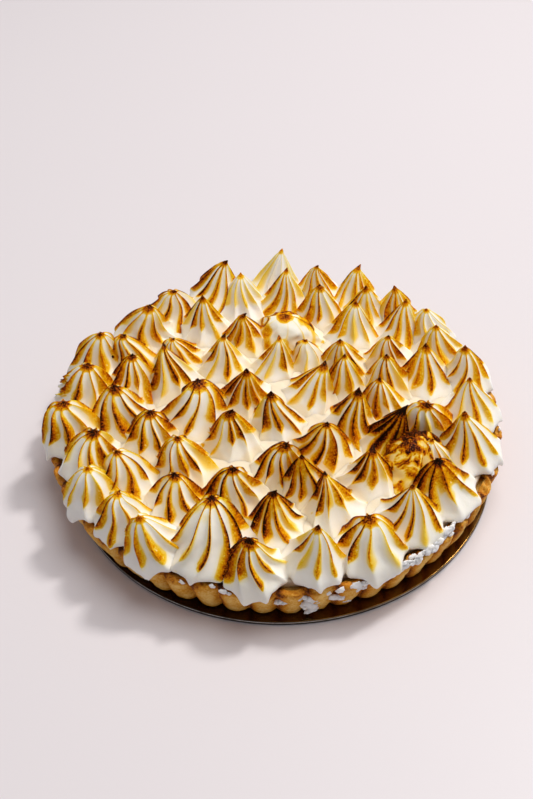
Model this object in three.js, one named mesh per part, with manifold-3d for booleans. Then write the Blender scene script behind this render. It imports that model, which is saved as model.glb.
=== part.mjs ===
// A lemon meringue tart, 25 cm across. A fluted shortcrust case stands on the loose steel base of its tin. It is
// filled to the brim and covered from edge to edge with kisses of meringue, piped through a star nozzle and torched.
// Units are millimetres and +Z is up. The origin is in the middle of the tart, on the surface that it stands on.

import * as THREE from "three";
import { mergeVertices } from "three/addons/utils/BufferGeometryUtils.js";
import Module from "manifold-3d";

const wasm = await Module();
wasm.setup();

// ---- Driving dimensions ----

const GAP = 0.3; // air between two pieces that touch

const TIN_BASE = {
  radius: 117,
  height: 2.2,
  edgeRound: 0.8,
  shift: new THREE.Vector2(2.8, -6.2), // the tart stands a little off its middle
  sides: 60,
};

const CRUST = {
  rimRadius: 125,
  footRadius: 118.3,
  height: 22.7,
  rimWidth: 4.6,
  recessDepth: 3.6,
  flutes: 54,
  fluteDepth: 3.2,
  columnsPerFlute: 3,
};

const BED = { radius: 117, shoulder: 5, middleRise: 6, edgeRise: 3, sides: 60 };

// A kiss as it comes off the nozzle. Each one is then a little different.
const KISS = {
  height: 25.5,
  slimmest: 18.5, // radius of the foot, over its ridges
  widest: 22.6,
  topReach: 125, // the kisses share the top of the tart out to here
  spotPitch: 2.5, // how finely the top is divided up between them
  edgeReach: 112.5, // how far out a foot may stand
  shyStep: 5.5, // how much further in they stay where the rim of the case is left bare
  shyBearing: -35, // the middle of that stretch, in degrees
  shySpread: 28,
  domedLean: 8, // how far the foot of a domed kiss stands in front of its tip, times its dome
  mostLean: 4,
  proud: 1.02, // how far the highest ridges stand out, against the mean radius
  grooveDepth: 0.14, // of the kiss's radius, at the foot
  grooveGrowth: 0.15, // how much deeper the grooves are half way up
  flare: 0.24, // how much wider a foot runs out where it meets its neighbours
  curl: 0.17, // how much narrower it is on its open side
  droop: 4, // how far the outermost foot sags past the rim of the case
  edgeStarts: 92, // feet that stand further out show their open side
  edgeLevels: [0, 0.16, 0.5, 0.82], // rings of the solid, as shares of its height
  innerLevels: [0.08, 0.5, 0.82],
};

// What sets some kisses apart: how tall, wide and domed they are (0 a straight cone, 1 an umbrella), how far the foot
// stands out beyond the tip, and how far it stands to the left of it, seen from the middle of the tart.
const HABITS = {
  tent: { tall: 1.06, wide: 0.98, dome: 0.12, out: 0, left: 0 },
  spire: { tall: 1.2, wide: 0.96, dome: 0, out: 0, left: 0 },
  full: { tall: 1, wide: 1, dome: 0.28, out: 0, left: 0 },
  umbrella: { tall: 0.98, wide: 1.02, dome: 0.5, out: 0, left: 0 },
  low: { tall: 0.86, wide: 0.94, dome: 0.3, out: 0, left: 0 },
  small: { tall: 0.8, wide: 0.8, dome: 0.3, out: 0, left: 0 },
  broad: { tall: 1.16, wide: 1.14, dome: 0.6, out: 8, left: 0 },
  curled: { tall: 1.12, wide: 0.98, dome: 0.1, out: 0, left: 9 },
  arch: { tall: 0.8, wide: 1.12, dome: 0.95, out: 0, left: 0 },
  smeared: { tall: 0.84, wide: 1.1, dome: 0.95, out: 0, left: 0 },
  torn: { tall: 0.98, wide: 1.02, dome: 0.5, out: 0, left: 0 },
  leaning: { tall: 1.12, wide: 1, dome: 0.1, out: 4, left: -7 },
  hooked: { tall: 1.08, wide: 1.12, dome: 0.6, out: 0, left: 9 },
  fin: { tall: 1.16, wide: 0.98, dome: 0, out: -8, left: -8 },
  inward: { tall: 1.08, wide: 1.06, dome: 0.15, out: -9, left: 0 },
};

// The tips, round by round from the edge inwards. Each has its bearing in degrees, counted from +X towards +Y, its
// reach from the middle and its habit.
const ROUNDS = [
  [
    [87, 120, "spire"], [75, 108, "tent"], [63, 119, "tent"], [49, 110, "tent"], [35, 109, "full"],
    [25, 102, "tent"], [13, 109, "tent"], [-1, 105, "tent"], [-18, 103, "spire"], [-37, 101, "full"],
    [-51, 105, "spire"], [-66, 107, "umbrella"], [-80, 110, "spire"], [-97, 111, "full"], [-124, 117, "full"],
    [-135, 109, "full"], [-147, 113, "umbrella"], [-160, 100, "umbrella"], [-173, 113, "umbrella"],
    [170, 105, "torn"], [156, 108, "full"], [136, 101, "full"], [124, 104, "full"], [104, 113, "curled"],
  ],
  [
    [85, 102, "tent"], [72, 91, "tent"], [56, 99, "tent"], [55, 85, "tent"], [41, 103, "tent"],
    [19, 90, "tent"], [-13, 84, "umbrella"], [-27, 91, "small"], [-28, 82, "smeared"], [-90, 81, "tent"],
    [-110, 92, "broad"], [-128, 83, "umbrella"], [-148, 96, "umbrella"], [-179, 87, "umbrella"],
    [161, 84, "umbrella"], [152, 96, "full"], [119, 86, "tent"], [101, 102, "full"],
  ],
  [
    [84, 67, "arch"], [30, 75, "tent"], [17, 65, "tent"], [1, 57, "full"], [-20, 74, "fin"],
    [-45, 70, "tent"], [-71, 73, "tent"], [-78, 61, "tent"], [-108, 68, "umbrella"], [-141, 65, "umbrella"],
    [-163, 69, "umbrella"], [155, 68, "spire"], [144, 70, "full"], [105, 60, "tent"],
  ],
  [
    [86, 40, "tent"], [65, 45, "low"], [43, 51, "full"], [27, 44, "tent"], [-12, 46, "leaning"],
    [-50, 42, "full"], [-83, 49, "umbrella"], [-132, 33, "tent"], [175, 42, "hooked"], [124, 49, "tent"],
  ],
  [
    [31, 33, "inward"], [154, 17, "tent"], [-102, 10, "tent"],
  ],
];

// ---- Small tools ----

// A repeatable number from 0 to 1 for one trait of one kiss.
function chance(kissNumber, trait) {
  const wave = Math.sin(kissNumber * 12.9898 + trait * 78.233) * 43758.5453;
  return wave - Math.floor(wave);
}

// The same, from -1 to 1.
function sway(kissNumber, trait) {
  return 2 * chance(kissNumber, trait) - 1;
}

// A turned body about +Z from [radius, z] pairs that run up its outside.
function turned(profile, sides) {
  const points = profile.map(([radius, z]) => new THREE.Vector2(radius, z));
  const geometry = new THREE.LatheGeometry(points, sides);
  geometry.rotateX(Math.PI / 2);
  geometry.deleteAttribute("normal");
  geometry.deleteAttribute("uv");
  return mergeVertices(geometry);
}

// Moves every vertex of a turned body. The change gets its bearing, radius and z, and returns the new ones.
function reshaped(geometry, change) {
  const position = geometry.getAttribute("position");
  for (let i = 0; i < position.count; i += 1) {
    const x = position.getX(i);
    const y = position.getY(i);
    const [bearing, radius, z] = change(Math.atan2(y, x), Math.hypot(x, y), position.getZ(i));
    position.setXYZ(i, radius * Math.cos(bearing), radius * Math.sin(bearing), z);
  }
  return geometry;
}

function toManifold(geometry) {
  const vertProperties = new Float32Array(geometry.getAttribute("position").array);
  const triVerts = new Uint32Array(geometry.getIndex().array);
  return new wasm.Manifold(new wasm.Mesh({ numProp: 3, vertProperties, triVerts }));
}

function fromManifold(solid) {
  const mesh = solid.getMesh();
  const geometry = new THREE.BufferGeometry();
  geometry.setAttribute("position", new THREE.BufferAttribute(new Float32Array(mesh.vertProperties), 3));
  geometry.setIndex(new THREE.BufferAttribute(new Uint32Array(mesh.triVerts), 1));
  geometry.computeVertexNormals();
  return geometry;
}

function piece(name, geometry, look) {
  const mesh = new THREE.Mesh(geometry, new THREE.MeshStandardMaterial(look));
  mesh.name = name;
  return mesh;
}

// ---- The loose base of the tin ----

function tinBase() {
  const { radius, height, edgeRound, shift, sides } = TIN_BASE;
  const profile = [
    [0, 0],
    [radius - edgeRound, 0],
    [radius, edgeRound],
    [radius, height - edgeRound],
    [radius - edgeRound, height],
    [0, height],
  ];
  const disc = piece("tin_base", turned(profile, sides), { color: 0x17130f, metalness: 0.8, roughness: 0.25 });
  disc.position.set(shift.x, shift.y, 0);
  return disc;
}

// ---- The pastry case, solid up to the meringue ----

const crustFoot = TIN_BASE.height + GAP;
const crustRim = crustFoot + CRUST.height;
const recessFloor = crustRim - CRUST.recessDepth;

// The rim was trimmed by hand and slumped a little in the oven.
function rimRise(bearing) {
  return 0.35 * Math.sin(5 * bearing + 1.3) + 0.2 * Math.sin(13 * bearing + 0.4) + 0.15 * Math.sin(31 * bearing);
}

// 1 in the crease between two flutes and 0 on the round of a flute.
function crease(bearing) {
  return (1 - Math.abs(Math.sin((CRUST.flutes * (bearing + Math.PI / 2)) / 2))) ** 1.6;
}

function pastryCrust() {
  const { rimRadius, footRadius, rimWidth, flutes, fluteDepth, columnsPerFlute } = CRUST;
  const innerRadius = rimRadius - rimWidth;
  const profile = [
    [0, crustFoot],
    [footRadius - 1.6, crustFoot],
    [footRadius, crustFoot + 1.8],
    [rimRadius, crustRim - 1.6],
    [rimRadius - 1.3, crustRim],
    [innerRadius, crustRim - 0.5],
    [innerRadius - 0.7, recessFloor],
    [0, recessFloor],
  ];
  const geometry = reshaped(turned(profile, flutes * columnsPerFlute), (bearing, radius, z) => {
    if (radius < 1) {
      return [bearing, radius, z];
    }
    const outside = radius > innerRadius + 0.1 || z < recessFloor - 0.1;
    const topShare = THREE.MathUtils.smoothstep(z, recessFloor, crustRim - 1.6);
    const dent = fluteDepth * crease(bearing) * (outside ? 1 : 0.3);
    return [bearing, radius - dent, z + topShare * rimRise(bearing)];
  });
  return piece("pastry_crust", geometry, { color: 0xb9772f, metalness: 0, roughness: 0.7 });
}

// ---- The meringue ----

const kissFoot = crustRim + 0.7 + GAP;

// The kisses as they were piped. Tips stay where the nozzle left them, and the feet spread until they share the top
// evenly, so that a crowded kiss ends up leaning.
function pipedKisses() {
  const kisses = ROUNDS.flat().map(([degrees, reach, name]) => {
    const bearing = THREE.MathUtils.degToRad(degrees);
    const outwards = new THREE.Vector2(Math.cos(bearing), Math.sin(bearing));
    const leftwards = new THREE.Vector2(-outwards.y, outwards.x);
    const tip = outwards.clone().multiplyScalar(reach);
    const habit = HABITS[name];
    const wish = tip.clone().addScaledVector(outwards, habit.out).addScaledVector(leftwards, habit.left);
    wish.y -= Math.min(KISS.domedLean * habit.dome, KISS.mostLean);
    return { habit, tip, wish, foot: wish.clone(), room: 0 };
  });
  settle(kisses);
  kisses.forEach((kiss, number) => {
    kiss.radius = THREE.MathUtils.clamp(kiss.room, KISS.slimmest, KISS.widest) * kiss.habit.wide;
    kiss.height = KISS.height * kiss.habit.tall * (1 + 0.06 * sway(number, 1));
    kiss.ridges = chance(number, 2) < 0.5 ? 9 : 8;
    kiss.turn = 2 * Math.PI * chance(number, 3);
    kiss.twist = 0.42 * sway(number, 4);
    kiss.dome = THREE.MathUtils.clamp(kiss.habit.dome + 0.12 * sway(number, 15), 0, 1);
  });
  return kisses;
}

// Spots all over the top, each of which is covered by the kiss whose foot is nearest.
function topSpots() {
  const spots = [];
  for (let x = -KISS.topReach; x < KISS.topReach; x += KISS.spotPitch) {
    for (let y = -KISS.topReach; y < KISS.topReach; y += KISS.spotPitch) {
      if (Math.hypot(x, y) < KISS.topReach) {
        spots.push(new THREE.Vector2(x, y));
      }
    }
  }
  return spots;
}

// How far out a foot may stand, which is less where the rim of the case is left bare.
function outerLimit(place) {
  const bearing = THREE.MathUtils.radToDeg(Math.atan2(place.y, place.x));
  return KISS.edgeReach - KISS.shyStep * Math.exp(-(((bearing - KISS.shyBearing) / KISS.shySpread) ** 2));
}

// Every foot moves towards the middle of its share of the top and is pulled back to where it was piped. Its room is
// the distance to the furthest spot that it has to cover.
function settle(kisses) {
  const spots = topSpots();
  for (let round = 0; round < 14; round += 1) {
    const shares = kisses.map(() => ({ sum: new THREE.Vector2(), count: 0, furthest: 0 }));
    for (const spot of spots) {
      const distances = kisses.map((kiss) => kiss.foot.distanceTo(spot));
      const nearest = distances.indexOf(Math.min(...distances));
      shares[nearest].sum.add(spot);
      shares[nearest].count += 1;
      shares[nearest].furthest = Math.max(shares[nearest].furthest, distances[nearest]);
    }
    kisses.forEach((kiss, i) => {
      const middle = shares[i].sum.divideScalar(shares[i].count);
      const spread = middle.sub(kiss.foot).multiplyScalar(0.5);
      const pull = kiss.wish.clone().sub(kiss.foot).multiplyScalar(0.2);
      kiss.foot.add(spread).add(pull).clampLength(0, outerLimit(kiss.wish));
      kiss.room = shares[i].furthest;
    });
  }
}

// A kiss's radius at a share of its height, for a foot of radius 1, between a straight cone and an umbrella.
function swell(share, dome) {
  const umbrella = Math.sqrt(1 - share ** 2);
  return THREE.MathUtils.lerp(1 - share, umbrella, dome);
}

function kissSolid(kiss) {
  const { foot, tip, radius, height, ridges, turn, twist, dome } = kiss;
  const levels = foot.length() > KISS.edgeStarts ? KISS.edgeLevels : KISS.innerLevels;
  const rings = levels.map((share) => [radius * swell(share, dome), kissFoot + height * share]);
  const profile = [[0, rings[0][1]], ...rings, [0, kissFoot + height]];
  const lean = tip.clone().sub(foot);
  const geometry = reshaped(turned(profile, 2 * ridges), (bearing, r, z) => {
    const share = (z - kissFoot) / height;
    const groove = (1 - Math.cos(ridges * (bearing + Math.PI / 2))) / 2;
    const growth = (KISS.grooveGrowth + 0.12 * dome) * THREE.MathUtils.smoothstep(share, 0, 0.5);
    const ridged = KISS.proud - (KISS.grooveDepth + growth) * groove;
    const way = bearing + turn + twist * share;
    const edgeReach = Math.hypot(foot.x + radius * Math.cos(way), foot.y + radius * Math.sin(way));
    const openSide = THREE.MathUtils.smoothstep(edgeReach, 107, 122);
    const curl = KISS.curl * (1 - Math.min(share / 0.16, 1)) ** 2;
    const flare = KISS.flare * (1 - Math.min(share / 0.42, 1)) ** 2;
    const foothold = r > 0 ? radius * (flare - (flare + curl) * openSide) : 0;
    return [way, (r + foothold) * ridged, z];
  });
  const position = geometry.getAttribute("position");
  for (let i = 0; i < position.count; i += 1) {
    const share = (position.getZ(i) - kissFoot) / height;
    const x = position.getX(i) + foot.x + lean.x * share ** 1.5;
    const y = position.getY(i) + foot.y + lean.y * share ** 1.5;
    const past = THREE.MathUtils.smoothstep(Math.hypot(x, y), CRUST.rimRadius - 1, CRUST.rimRadius + 5);
    position.setXYZ(i, x, y, position.getZ(i) - KISS.droop * past * (1 - share) ** 4);
  }
  return toManifold(geometry);
}

// What the sagging feet have to stay out of: the room over the rim and inside it, up to the level of the feet.
function rimRoom() {
  const reach = CRUST.rimRadius + 2 * GAP;
  const profile = [
    [0, crustFoot],
    [reach, crustFoot],
    [reach, kissFoot],
    [0, kissFoot],
  ];
  return toManifold(turned(profile, CRUST.flutes));
}

function bedSolid() {
  const { radius, shoulder, middleRise, edgeRise, sides } = BED;
  const profile = [
    [0, recessFloor + GAP],
    [radius, recessFloor + GAP],
    [radius, kissFoot],
    [radius - shoulder, kissFoot + edgeRise],
    [0, kissFoot + middleRise],
  ];
  return toManifold(turned(profile, sides));
}

// The outer skin of a fused body alone, so that no pocket of air stays shut in between the kisses.
function withoutPockets(solid) {
  const skins = solid.decompose();
  skins.sort((a, b) => b.volume() - a.volume());
  return skins[0];
}

function meringue() {
  const [first, ...others] = pipedKisses().map(kissSolid);
  const kisses = others.reduce((whole, kiss) => whole.add(kiss), first);
  const fused = kisses.subtract(rimRoom()).add(bedSolid());
  const look = { color: 0xf6ead0, metalness: 0, roughness: 0.5 };
  return piece("meringue", fromManifold(withoutPockets(fused)), look);
}

// ---- The tart ----

const tart = new THREE.Group();
tart.add(tinBase(), pastryCrust(), meringue());

export default tart;
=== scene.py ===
import math

import bmesh
import bpy
import numpy as np
from mathutils import Matrix, Vector, noise


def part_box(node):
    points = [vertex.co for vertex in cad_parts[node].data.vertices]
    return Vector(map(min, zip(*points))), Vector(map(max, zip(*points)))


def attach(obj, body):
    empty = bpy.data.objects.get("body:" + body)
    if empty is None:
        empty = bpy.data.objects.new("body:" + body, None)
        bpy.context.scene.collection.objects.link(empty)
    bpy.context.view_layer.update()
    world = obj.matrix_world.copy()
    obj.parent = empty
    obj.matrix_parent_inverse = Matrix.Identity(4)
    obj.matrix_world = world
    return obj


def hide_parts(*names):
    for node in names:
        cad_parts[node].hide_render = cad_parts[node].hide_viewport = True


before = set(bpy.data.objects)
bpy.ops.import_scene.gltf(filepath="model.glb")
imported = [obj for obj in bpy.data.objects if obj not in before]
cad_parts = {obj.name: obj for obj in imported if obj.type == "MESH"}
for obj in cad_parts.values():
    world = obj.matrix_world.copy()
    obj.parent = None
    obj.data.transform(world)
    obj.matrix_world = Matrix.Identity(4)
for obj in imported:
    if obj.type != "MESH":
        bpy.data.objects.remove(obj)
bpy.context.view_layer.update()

# ---- Camera ----
# It looks down on the front of the tart at about 42 degrees, from a little over 60 cm, through a 50 mm lens
# that is turned by a degree and a half.

CAMERA_PLACE = (0.0, -0.4515, 0.4483)
CAMERA_PITCH = 42.25  # degrees down from level
CAMERA_YAW = 0.6
CAMERA_ROLL = -1.5

lens = bpy.data.cameras.new("camera")
lens.lens = 50
lens.sensor_width = 36
lens.clip_start = 0.01
camera = bpy.data.objects.new("camera", lens)
bpy.context.scene.collection.objects.link(camera)
camera.matrix_world = (
    Matrix.Translation(CAMERA_PLACE)
    @ Matrix.Rotation(math.radians(CAMERA_YAW), 4, "Z")
    @ Matrix.Rotation(math.radians(90 - CAMERA_PITCH), 4, "X")
    @ Matrix.Rotation(math.radians(CAMERA_ROLL), 4, "Z")
)
bpy.context.scene.camera = camera

# ---- Tin base ----
# The loose base of the tart tin: a thin steel disc with a dark, glossy non-stick coat, rolled smooth at its
# edge. It has a few greasy smudges and some pastry dust. Its side is painted near black as shade, a broken
# pale line along the rounded edge is a painted highlight, and the top holds a painted reflection of the
# crust.


def srgb(red, green, blue):
    """A colour given as it looks on a screen, 0 to 255, as the numbers that a shader takes."""
    shares = [value / 255 for value in (red, green, blue)]
    return (*[s / 12.92 if s <= 0.04045 else ((s + 0.055) / 1.055) ** 2.4 for s in shares], 1.0)


class Signal:
    """A socket of a material. Arithmetic on it adds Math nodes."""

    def __init__(self, paint, socket):
        self.paint = paint
        self.socket = socket

    def maths(self, operation, *values):
        return self.paint.node("ShaderNodeMath", {"operation": operation}, dict(enumerate(values)))

    def __add__(self, other):
        return self.maths("ADD", self, other)

    def __radd__(self, other):
        return self.maths("ADD", other, self)

    def __sub__(self, other):
        return self.maths("SUBTRACT", self, other)

    def __rsub__(self, other):
        return self.maths("SUBTRACT", other, self)

    def __mul__(self, other):
        return self.maths("MULTIPLY", self, other)

    def __rmul__(self, other):
        return self.maths("MULTIPLY", other, self)

    def ramp(self, low, high):
        """0 up to low and 1 from high on, with soft ends."""
        settings = {"interpolation_type": "SMOOTHSTEP"}
        return self.paint.node("ShaderNodeMapRange", settings, {0: self, 1: low, 2: high})


class Paint:
    """A material that is being mixed, on Object coordinates."""

    def __init__(self, name):
        self.material = bpy.data.materials.new(name)
        self.material.use_nodes = True
        self.tree = self.material.node_tree
        self.tree.nodes.clear()
        self.place = self.node("ShaderNodeTexCoord", {}, {}, "Object")

    def node(self, kind, settings, inputs, output=0):
        made = self.tree.nodes.new(kind)
        for name, value in settings.items():
            if name == "stops":
                self.set_stops(made.color_ramp, value)
            else:
                setattr(made, name, value)
        for name, value in inputs.items():
            if isinstance(value, Signal):
                self.tree.links.new(value.socket, made.inputs[name])
            else:
                made.inputs[name].default_value = value
        return None if output is None else Signal(self, made.outputs[output])

    def set_stops(self, ramp, stops):
        ramp.elements.remove(ramp.elements[1])
        ramp.elements[0].position = stops[0][0]
        ramp.elements[0].color = stops[0][1]
        for position, colour in stops[1:]:
            ramp.elements.new(position).color = colour

    def attribute(self, name):
        return self.node("ShaderNodeAttribute", {"attribute_name": name}, {}, "Fac")

    def along(self, axis):
        return self.node("ShaderNodeSeparateXYZ", {}, {0: self.place}, axis)

    def noise(self, size, detail=3, roughness=0.5):
        """Cloudy noise around 0.5 whose spots are about size metres wide."""
        inputs = {"Vector": self.place, "Scale": 1 / size, "Detail": detail, "Roughness": roughness}
        return self.node("ShaderNodeTexNoise", {}, inputs)

    def colours(self, value, stops):
        return self.node("ShaderNodeValToRGB", {"stops": stops}, {0: value})

    def mix(self, share, first, second, blend="MIX"):
        settings = {"data_type": "RGBA", "blend_type": blend, "clamp_factor": True}
        return self.node("ShaderNodeMix", settings, {0: share, 6: first, 7: second}, 2)

    def finish(self, **sockets):
        """Sets the shader's sockets, named with _ for a space. height and depth make a bump."""
        height = sockets.pop("height", None)
        depth = sockets.pop("depth", 0)
        inputs = {name.replace("_", " "): value for name, value in sockets.items()}
        if height:
            inputs["Normal"] = self.node("ShaderNodeBump", {}, {"Height": height, "Distance": depth})
        shader = self.node("ShaderNodeBsdfPrincipled", {}, inputs)
        self.node("ShaderNodeOutputMaterial", {}, {"Surface": shader}, None)
        return self.material


def as_piece(name, bm, paint, slot, *nodes):
    """Makes a finished piece of a bmesh, which stands for the CAD nodes that are named."""
    mesh = bpy.data.meshes.new(name)
    bm.to_mesh(mesh)
    bm.free()
    return dressed(bpy.data.objects.new(name, mesh), paint, slot, *nodes)


def dressed(piece, paint, slot, *nodes):
    piece.data.materials.clear()
    piece.data.materials.append(paint)
    piece.data.shade_smooth()
    if piece.name not in bpy.context.scene.collection.objects:
        bpy.context.scene.collection.objects.link(piece)
    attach(piece, "root")
    if nodes:
        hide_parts(*nodes)
    return piece


def dark_coat():
    paint = Paint("dark_coat")
    z = paint.along("Z")
    # 1 on the coated top and 0 on the side. The side is painted near black as painted shade, and is not
    # metallic.
    top_over_painted_dark_side = z.ramp(0.0013, 0.0016)
    # A painted highlight: a thin pale line along the top of the rounded edge, broken up by noise.
    highlight_breaks = paint.noise(0.012, 3, 0.7).ramp(0.35, 0.6)
    painted_edge_highlight = z.ramp(0.0015, 0.0018) * (1 - z.ramp(0.00185, 0.002)) * (0.3 + highlight_breaks * 0.7)
    grease = paint.noise(0.02, 4, 0.6).ramp(0.42, 0.7)
    dust = paint.noise(0.0011, 2, 0.6).ramp(0.71, 0.76)
    # The coat's colour holds a painted reflection of the crust: near black on the left, golden brown on the
    # right.
    coat_and_painted_reflection = paint.mix(paint.along("X").ramp(-0.06, 0.06), srgb(48, 36, 24), srgb(112, 82, 38))
    coat_and_painted_reflection = paint.mix(grease * 0.6, coat_and_painted_reflection, srgb(84, 64, 40))
    top = paint.mix(dust, coat_and_painted_reflection, srgb(150, 108, 62))
    return paint.finish(
        Base_Color=paint.mix(painted_edge_highlight, paint.mix(top_over_painted_dark_side, srgb(12, 8, 6), top), srgb(205, 200, 196)),
        Metallic=top_over_painted_dark_side * 0.95,
        Roughness=0.16 + grease * 0.1 + dust * 0.5,
        Specular_IOR_Level=0.3,
        height=paint.noise(0.004, 2) + dust * 0.5,
        depth=0.00003,
    )


DISC_STEPS = 288
DISC_ROUND = 0.0008
DISC_RIM_BAND = 0.002  # the ring of the flat faces that is kept narrow, so that the rounded edge shades well

disc_low, disc_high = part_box("tin_base")
bm = bmesh.new()
disc_height = disc_high.z - disc_low.z
disc_radius = (disc_high.x - disc_low.x) / 2
bmesh.ops.create_cone(bm, cap_ends=True, segments=DISC_STEPS, radius1=disc_radius, radius2=disc_radius,
                      depth=disc_height)
bmesh.ops.translate(bm, verts=bm.verts, vec=(disc_low + disc_high) / 2)
rims = [edge for edge in bm.edges if abs(edge.verts[0].co.z - edge.verts[1].co.z) < 1e-6]
bmesh.ops.bevel(bm, geom=rims, offset=DISC_ROUND, segments=5, affect="EDGES", profile=0.5, material=-1)
caps = [face for face in bm.faces if len(face.verts) > 4]
bmesh.ops.inset_region(bm, faces=caps, thickness=DISC_RIM_BAND)
as_piece("tin_base_disc", bm, dark_coat(), "dark_tin", "tin_base")

# ---- Pastry case ----
# Shortcrust pressed into a fluted tin and baked: 54 round flutes with narrow creases between them, a rim
# that was trimmed by hand and browned most, and the dry, sandy grain of crumbly dough. The creases are
# painted darker as painted shade, and so is the top band under the kisses, more towards the left.

RIM_RADIUS = 0.125
FOOT_RADIUS = 0.1183
CRUST_HEIGHT = 0.0227
RIM_WIDTH = 0.0046
RIM_INNER = RIM_RADIUS - RIM_WIDTH
RECESS_DEPTH = 0.0036
FLUTES = 54
FLUTE_DEPTH = 0.0032
COLUMNS_PER_FLUTE = 18
TORN_BEARING = -32  # in degrees: here the rim is raggedest
TORN_SPREAD = 36
AXIS_GAP = 0.002  # what is turned starts this far off its axis, and the small hole is filled

crust_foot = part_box("pastry_crust")[0].z
crust_rim = crust_foot + CRUST_HEIGHT
recess_floor = crust_rim - RECESS_DEPTH


def arc(centre, radius, start, end, steps):
    """Points of a round corner, as (radius, z), between two angles in degrees."""
    turns = [math.radians(start + (end - start) * i / steps) for i in range(steps + 1)]
    return [(centre[0] + radius * math.cos(t), centre[1] + radius * math.sin(t)) for t in turns]


def line(start, end, steps):
    """The points between two corners, without the corners themselves."""
    shares = [i / steps for i in range(1, steps)]
    return [(start[0] + (end[0] - start[0]) * s, start[1] + (end[1] - start[1]) * s) for s in shares]


def turned(profile, steps):
    """A closed bmesh turned about +Z from (radius, z) points that start and end near the axis."""
    bm = bmesh.new()
    verts = [bm.verts.new((radius, 0, z)) for radius, z in profile]
    edges = [bm.edges.new(pair) for pair in zip(verts, verts[1:])]
    bmesh.ops.spin(bm, geom=verts + edges, cent=(0, 0, 0), axis=(0, 0, 1), angle=2 * math.pi, steps=steps,
                   use_merge=True)
    bmesh.ops.remove_doubles(bm, verts=bm.verts, dist=1e-6)
    bmesh.ops.holes_fill(bm, edges=bm.edges)
    bmesh.ops.recalc_face_normals(bm, faces=bm.faces)
    return bm


def smooth(low, high, value):
    share = np.clip((value - low) / (high - low), 0, 1)
    return share * share * (3 - 2 * share)


def rim_rise(bearing):
    """How far the hand-trimmed rim stands above or below its mean height."""
    waves = 0.35 * math.sin(5 * bearing + 1.3) + 0.2 * math.sin(13 * bearing + 0.4)
    return (waves + 0.15 * math.sin(31 * bearing)) / 1000


def crease(bearing):
    """1 in the crease between two flutes and 0 on the round of a flute."""
    return (1 - abs(math.sin(FLUTES * (bearing + math.pi / 2) / 2))) ** 1.6


def crust_profile():
    foot_turn = 0.0019
    lip_turn = 0.0017
    foot = arc((FOOT_RADIUS - foot_turn, crust_foot + foot_turn), foot_turn, -90, -15, 6)
    lip = arc((RIM_RADIUS - lip_turn, crust_rim - lip_turn), lip_turn, 5, 90, 7)
    inner_lip = arc((RIM_INNER + lip_turn, crust_rim - lip_turn), lip_turn, 100, 178, 5)
    recess = (RIM_INNER - 0.0007, recess_floor)
    return [
        (AXIS_GAP, crust_foot),
        *line((AXIS_GAP, crust_foot), foot[0], 8),
        *foot,
        *line(foot[-1], lip[0], 30),
        *lip,
        *line(lip[-1], inner_lip[0], 3),
        *inner_lip,
        *line(inner_lip[-1], recess, 4),
        recess,
        *line(recess, (AXIS_GAP, recess_floor), 6),
        (AXIS_GAP, recess_floor),
    ]


def roughened(point, bearing, outwards):
    """A point of the turned case, moved into its flute and given the dough's lumps and grain."""
    radius = math.hypot(point.x, point.y)
    if radius < RIM_INNER - 0.004 and point.z > crust_foot + 0.001:
        return point
    top_share = float(smooth(recess_floor, crust_rim - 0.0016, point.z))
    height_share = (point.z - crust_foot) / CRUST_HEIGHT
    outside = radius > RIM_INNER + 0.0015 or point.z < recess_floor - 0.0001
    torn = 1 + 2.2 * math.exp(-(((math.degrees(bearing) - TORN_BEARING) / TORN_SPREAD) ** 2))
    uneven = 1 + 0.45 * noise.noise(Vector((5 * outwards.x, 5 * outwards.y, 9 * height_share)))
    dent = FLUTE_DEPTH * uneven * crease(bearing + 0.012 * uneven) * (1 if outside else 0.3)
    lump = noise.noise(point * 110) * 0.0009 + noise.noise(point * 420) * 0.0003
    grain = noise.noise(point * 1300) * 0.00013 + noise.noise(point * 2600) * 0.00008
    crumble = noise.noise(point * 240 + Vector((7, 3, 1))) * 0.0008 + noise.noise(point * 700) * 0.0005
    crumble *= top_share * torn
    belly = 0.0005 * math.sin(math.pi * min(max(height_share, 0), 1))
    moved = radius - dent + belly + lump + grain - 0.4 * abs(crumble)
    z = point.z + top_share * (rim_rise(bearing) + crumble)
    return Vector((moved * outwards.x, moved * outwards.y, max(z, crust_foot)))


def store(mesh, name, values):
    mesh.attributes.new(name, "FLOAT", "POINT").data.foreach_set("value", values.astype(np.float32))


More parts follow.
